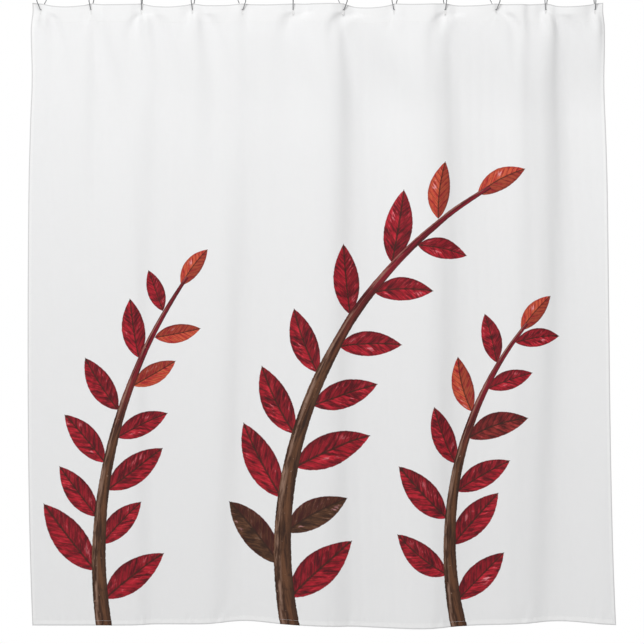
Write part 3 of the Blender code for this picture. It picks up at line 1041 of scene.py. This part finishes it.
def rim_lines(side):
    """The lines of points along the four edges of one side, each running the same way round."""
    left, right = zip(*((line[0], line[-1]) for line in side))
    return side[0], right, side[-1][::-1], left[::-1]


def make_cloth():
    """The panel as one closed mesh, with its flat-cloth coordinates."""
    rows = cloth_rows()
    layers = cloth_layers(rows)
    sheet = bmesh.new()
    flat = sheet.loops.layers.uv.new(FLAT_CLOTH)
    sides = []
    place_of = {}
    for side in (0, 1):
        points = []
        for (down, places), layer in zip(rows, layers):
            line = [sheet.verts.new(point) for point in layer[side]]
            for vertex, place in zip(line, places):
                place_of[vertex] = (place, CLOTH_LENGTH - down)
            points.append(line)
        sides.append(points)
    for side, points in enumerate(sides):
        for (upper, lower), (above, below) in zip(zip(points, points[1:]), zip(rows, rows[1:])):
            for face in zip_rows(sheet, upper, lower, above[1], below[1]):
                face.material_index = side
    for line, twin in zip(*(rim_lines(side) for side in sides)):
        for corners in zip(line, line[1:], twin[1:], twin):
            sheet.faces.new(corners)
    for face in sheet.faces:
        face.smooth = True
        for loop in face.loops:
            loop[flat].uv = place_of[loop.vert]
    return finished_mesh("curtain_cloth", sheet)


def pear_outline(big, small, height, big_steps, small_steps):
    """A pear outline with its top at height 0: over the big end from right to left, then round
    the small end from left to right."""
    lean = math.asin((big - small) / (height - big - small))
    over = np.linspace(-lean, math.pi + lean, big_steps + 1)
    under = np.linspace(math.pi + lean, 2 * math.pi - lean, small_steps + 1)
    points = [(big * math.cos(angle), big * math.sin(angle) - big) for angle in over]
    points += [(small * math.cos(angle), small * math.sin(angle) + small - height) for angle in under]
    return [Vector(point) for point in points]


def hole_places():
    """X, and the angle about Z, of the cloth at every hole, as in the solids."""
    boxes = [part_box(f"buttonhole_edge_{number:02d}") for number in range(1, HOOK_COUNT + 1)]
    return [((low.x + high.x) / 2, angle) for (low, high), angle in zip(boxes, HOLE_ANGLES)]


def hole_cutter(x, angle):
    """A prism with the outline of a stitched edge, through the cloth."""
    height = EDGE_HEIGHT + 2 * GAP
    bends = (EDGE_BIG_BEND + GAP, EDGE_SMALL_BEND + GAP)
    outline = pear_outline(*bends, height, *CUTTER_BEND_STEPS)
    shape = bmesh.new()
    rings = []
    for y in (-CUTTER_HALF_DEPTH, CUTTER_HALF_DEPTH):
        rings.append([shape.verts.new((point.x, y, point.y + height / 2)) for point in outline])
    join_rings(shape, rings)
    cutter = bpy.data.objects.new("cutter", finished_mesh("cutter", shape))
    cutter.matrix_world = Matrix.Translation((x, 0, EDGE_CENTRE)) @ Matrix.Rotation(angle, 4, "Z")
    return cutter


def add_cloth():
    mesh = make_cloth()
    mesh.materials.append(cloth_material("curtain_cloth_front", 1.0))
    mesh.materials.append(cloth_material("curtain_cloth_back", BACK_PRINT))
    cloth = add_piece("curtain_cloth", mesh, "curtain_panel")
    cutters = bpy.data.collections.new("cutters")
    for x, angle in hole_places():
        cutters.objects.link(hole_cutter(x, angle))
    bpy.context.scene.collection.children.link(cutters)
    holes = cloth.modifiers.new("holes", "BOOLEAN")
    holes.operation = "DIFFERENCE"
    holes.solver = "MANIFOLD"
    holes.operand_type = "COLLECTION"
    holes.collection = cutters
    seen = cloth.evaluated_get(bpy.context.evaluated_depsgraph_get())
    cut = bpy.data.meshes.new_from_object(seen)
    cloth.modifiers.clear()
    cloth.data = cut
    cut.set_sharp_from_angle(angle=CLOTH_SHARP)
    for cutter in list(cutters.objects):
        bpy.data.objects.remove(cutter)
    bpy.data.collections.remove(cutters)
    return cloth


# Wires and threads


def tube(path, radii, sides):
    """A mesh tube along a path, with its own radius at every ring and filled ends."""
    shape = bmesh.new()
    rings = []
    for k, (point, radius) in enumerate(zip(path, radii)):
        along = (path[min(k + 1, len(path) - 1)] - path[max(k - 1, 0)]).normalized()
        first = (Vector((1, 0, 0)) - along * along.x).normalized()
        rings.append(add_ring(shape, point, first * radius, along.cross(first) * radius, sides))
    join_rings(shape, rings)
    return shape


def front_arm():
    """The low end and the high end of a hook's straight front arm."""
    outline = pear_outline(HOOK_BIG_BEND, HOOK_SMALL_BEND, HOOK_HEIGHT, 1, 1)
    return outline[-1], outline[0]


def beside_arm(along, offset, wrap):
    """A point of the wire's ends: along the front arm and on round the big bend, set off towards
    the inside of the hook, and turned round the arm by an angle."""
    low, high = front_arm()
    run = high - low
    lean = math.atan2(run.x, run.y)
    if along <= run.length:
        place = low + run * along / run.length
    else:
        lean = lean + (run.length - along) / HOOK_BIG_BEND
        place = Vector((math.cos(lean), -math.sin(lean))) * HOOK_BIG_BEND - Vector((0, HOOK_BIG_BEND))
    inward = Vector((-math.cos(lean), math.sin(lean)))
    return place + inward * offset * math.cos(wrap), offset * math.sin(wrap)


def hook_path():
    """The wire of one hook, as in the solids: from its tip over the rod, down behind the cloth,
    through the buttonhole and up again to the catch that wraps round the tip."""
    low, high = front_arm()
    arm_length = (high - low).length
    flat = [beside_arm(arm_length - TIP_BELOW_BEND, 0.0, 0.0)]
    outline = pear_outline(HOOK_BIG_BEND, HOOK_SMALL_BEND, HOOK_HEIGHT, *HOOK_BEND_STEPS)
    flat += [(point, 0.0) for point in outline]
    for step in range(CATCH_SHIFT_STEPS):
        share = step / CATCH_SHIFT_STEPS
        flat.append(beside_arm(arm_length - CATCH_LOW * (1 - share), CATCH_OFFSET * ease(share), 0.0))
    for step in range(CATCH_WRAP_STEPS + 1):
        share = step / CATCH_WRAP_STEPS
        wrap = CATCH_WRAP * share**CATCH_WRAP_GAIN
        flat.append(beside_arm(arm_length + CATCH_RISE * share, CATCH_OFFSET, wrap))
    return [Vector((aside, -place.x, HOOK_TOP + place.y)) for place, aside in flat]


def rounded_ends(path, radius):
    """The path with its ends rounded off in a few short steps, and the radius at every point."""
    insets = [radius * (1 - math.cos(math.radians(angle))) for angle in TIP_ANGLES]
    tips = [radius * math.sin(math.radians(angle)) for angle in TIP_ANGLES]
    first = (path[1] - path[0]).normalized()
    last = (path[-2] - path[-1]).normalized()
    opening = [path[0] + first * inset for inset in insets]
    closing = [path[-1] + last * inset for inset in reversed(insets)]
    radii = tips + [radius] * (len(path) - 2) + tips[::-1]
    return opening + path[1:-1] + closing, radii


def satin_path():
    """The middle line of a stitched edge in its own frame, with a point for every ring."""
    outline = pear_outline(EDGE_BIG_BEND, EDGE_SMALL_BEND, EDGE_HEIGHT, *SATIN_BEND_STEPS)
    corners = [Vector((point.x, 0.0, point.y + EDGE_HEIGHT / 2)) for point in outline]
    corners.append(corners[0])
    lengths = np.cumsum([0.0] + [(b - a).length for a, b in zip(corners, corners[1:])])
    stitches = round(lengths[-1] / SATIN_PITCH)
    steps = np.linspace(0, lengths[-1], stitches * SATIN_RINGS + 1)[:-1]
    along = [np.interp(steps, lengths, [corner[axis] for corner in corners]) for axis in range(3)]
    return [Vector(point) for point in zip(*along)]


def satin_reach(point):
    """How far the stitches reach inwards from the middle line: they leave room for the wire, and
    below it they nearly close the slit."""
    below = EDGE_HEIGHT / 2 - point.z
    open_share = 1 - float(ease((below - WIRE_ROOM_DOWN) / SLIT_CLOSING))
    room = SLIT_HALF + (WIRE_ROOM_HALF - SLIT_HALF) * open_share
    return max(BEAD_RADIUS, abs(point.x) - room)


def satin_band(path, draw):
    """A flat band of stitches round the hole: fuller in the middle of each stitch, and each a
    little longer or shorter than the next."""
    shape = bmesh.new()
    count = len(path)
    uneven = np.random.RandomState(draw).uniform(*SATIN_UNEVEN, count // SATIN_RINGS + 1)
    rings = []
    for k, point in enumerate(path):
        along = (path[(k + 1) % count] - path[k - 1]).normalized()
        outward = Vector((-along.z, 0, along.x))
        if outward.dot(point) < 0:
            outward = -outward
        swell = 0.5 - 0.5 * math.cos(2 * math.pi * k / SATIN_RINGS)
        thick = SATIN_THICK * (1 - SATIN_GROOVE * (1 - swell))
        inner = satin_reach(point)
        outer = BEAD_RADIUS * float(uneven[k // SATIN_RINGS])
        middle = point + outward * (outer - inner) / 2
        half = (outer + inner) / 2
        rings.append(add_ring(shape, middle, outward * half, Vector((0, thick, 0)), SATIN_SIDES))
    join_rings(shape, rings, closed=True)
    return shape


def add_hooks_and_edges(steel, satin):
    path, radii = rounded_ends(hook_path(), WIRE_RADIUS)
    ring = satin_path()
    hooks, edges = [], []
    for number, (x, angle) in enumerate(hole_places(), start=1):
        shape = tube(path, radii, WIRE_SIDES)
        turn = Matrix.Rotation(math.radians(HOOK_TURNS[number - 1]), 4, "Z")
        shape.transform(Matrix.Translation((x, 0, 0)) @ turn)
        mesh = finished_mesh(f"steel_hook_{number:02d}", shape)
        mesh.set_sharp_from_angle(angle=WIRE_SHARP)
        mesh.materials.append(steel)
        hooks.append(add_piece(mesh.name, mesh, f"hook_{number:02d}"))

        shape = satin_band(ring, EDGE_DRAW + number)
        shape.transform(Matrix.Translation((x, 0, EDGE_CENTRE)) @ Matrix.Rotation(angle, 4, "Z"))
        mesh = finished_mesh(f"satin_edge_{number:02d}", shape)
        mesh.materials.append(satin)
        edges.append(add_piece(mesh.name, mesh, f"buttonhole_edge_{number:02d}"))
    return hooks, edges


def seam_lines():
    """The four hem seams, each as (points of its line, directions to the back)."""
    across_from = SIDE_HEM - SEAM_FROM_FOLD
    lines = []
    for down in (TOP_SEAM, LOW_SEAM):
        count = int((CLOTH_WIDTH - 2 * across_from) / STITCH_PITCH)
        places = across_from + STITCH_PITCH * np.arange(count + 1)
        lines.append(cloth_points(places, down))
    row_downs = np.array([down for down, _ in cloth_rows()])
    both = np.array([across_from, CLOTH_WIDTH - across_from])
    at_rows = [cloth_points(both, down) for down in row_downs]
    downs = np.arange(across_from, CLOTH_LENGTH - across_from, STITCH_PITCH)
    for side in (0, 1):
        line = []
        for kind in (0, 1):
            values = np.array([row[kind][side] for row in at_rows])
            line.append(np.stack([np.interp(downs, row_downs, axis) for axis in values.T], 1))
        lines.append(line)
    return lines


def add_stitch(shape, start, end, out):
    """One short stitch: a thread that rises from the cloth, lies on it and goes in again."""
    along = (end - start).normalized()
    aside = along.cross(out).normalized()
    rings = []
    for share, lift, thick in STITCH_PROFILE:
        centre = (start + end) / 2 + along * share * STITCH_LENGTH + out * lift * STITCH_RADIUS
        radius = STITCH_RADIUS * thick
        rings.append(add_ring(shape, centre, aside * radius, out * radius, STITCH_SIDES))
    join_rings(shape, rings)


def add_stitching(thread):
    """The hem seams' stitches on the front and on the back of the cloth."""
    shape = bmesh.new()
    front = HEM_THICKNESS / 2 - GROOVE_DEPTH
    for points, backs in seam_lines():
        for k in range(len(points) - 1):
            back = Vector(backs[k])
            for side in (-1, 1):
                start = Vector(points[k]) + back * side * front
                end = Vector(points[k + 1]) + back * side * front
                add_stitch(shape, start, end, back * side)
    mesh = finished_mesh("hem_stitching", shape)
    mesh.materials.append(thread)
    return add_piece("hem_stitching", mesh)


# The stage and the light

WHITE = (1.0, 1.0, 1.0)
FLOOR_Z = -2.30
FLOOR_REACH = 9.0
FLOOR_BACK = 0.6
FLOOR_TONE = 0.74
FLOOR_ROUGHNESS = 0.9
FLOOR_GLOW = 0.10
# how strongly the white world lights the scene
AMBIENT = 0.306
# each lamp: its place, what it points at, its width and height, and its power
Lamp = namedtuple("Lamp", "name place aim size power")
LAMPS = (
    Lamp("key", (-2.1, -6.8, 2.6), (0.1, 0.0, -0.8), (1.8, 1.8), 234.5),
    Lamp("high", (0.0, -3.2, 2.6), (0.0, 0.0, 0.2), (2.0, 0.6), 64.0),
    Lamp("behind", (1.8, 4.2, 2.2), (0.0, 0.0, -1.0), (2.0, 1.4), 110.0),
)


def add_floor():
    """A plain pale floor below the curtain."""
    reach = FLOOR_REACH
    corners = ((-reach, -reach), (reach, -reach), (reach, FLOOR_BACK), (-reach, FLOOR_BACK))
    mesh = bpy.data.meshes.new("studio_floor")
    mesh.from_pydata([(x, y, FLOOR_Z) for x, y in corners], [], [(0, 1, 2, 3)])
    material, _, shader = new_material("studio_floor")
    feed(shader.inputs["Base Color"], (FLOOR_TONE, FLOOR_TONE, FLOOR_TONE))
    feed(shader.inputs["Roughness"], FLOOR_ROUGHNESS)
    feed(shader.inputs["Emission Color"], WHITE)
    feed(shader.inputs["Emission Strength"], FLOOR_GLOW)
    mesh.materials.append(material)
    linked("studio_floor", mesh)


def add_world():
    """A world that is white to the eye and lights the curtain softly."""
    world = bpy.data.worlds.new("studio_world")
    world.use_nodes = True
    tree = world.node_tree
    tree.nodes.remove(tree.nodes["Background"])
    light, seen = [
        add_node(tree, "ShaderNodeBackground", {"Color": WHITE, "Strength": strength}).outputs[0]
        for strength in (AMBIENT, 1.0)
    ]
    to_camera = tree.nodes.new("ShaderNodeLightPath").outputs["Is Camera Ray"]
    chooser = add_node(tree, "ShaderNodeMixShader", {0: to_camera, 1: light, 2: seen})
    feed(tree.nodes["World Output"].inputs["Surface"], chooser.outputs[0])
    bpy.context.scene.world = world


def add_lights():
    for entry in LAMPS:
        light = bpy.data.lights.new(entry.name, "AREA")
        light.shape = "RECTANGLE"
        light.size, light.size_y = entry.size
        light.energy = entry.power
        lamp = linked(entry.name, light)
        lamp.location = entry.place
        aim = Vector(entry.aim) - lamp.location
        lamp.rotation_euler = aim.to_track_quat("-Z", "Y").to_euler()
        lamp.visible_camera = False
    bpy.context.scene.view_settings.view_transform = "Standard"


def add_camera():
    camera = bpy.data.cameras.new("camera")
    camera.sensor_width = SENSOR_WIDTH
    camera.lens = SENSOR_WIDTH * CAMERA_DISTANCE / FRAME_WIDTH
    camera.clip_end = FARTHEST_SEEN
    eye = linked("camera", camera)
    eye.location = (FRAME_CENTRE[0], -CAMERA_DISTANCE, FRAME_CENTRE[1])
    eye.rotation_euler = (math.pi / 2, 0, 0)
    bpy.context.scene.camera = eye


def main():
    add_camera()
    add_floor()
    add_world()
    add_lights()
    steel = steel_material()
    satin = thread_material("satin_thread", SATIN_WHITE, SATIN_FIBRES)
    seam = thread_material("seam_thread", SEAM_WHITE, SEAM_FIBRES)
    cloth = add_cloth()
    stitching = add_stitching(seam)
    hooks, edges = add_hooks_and_edges(steel, satin)


main()
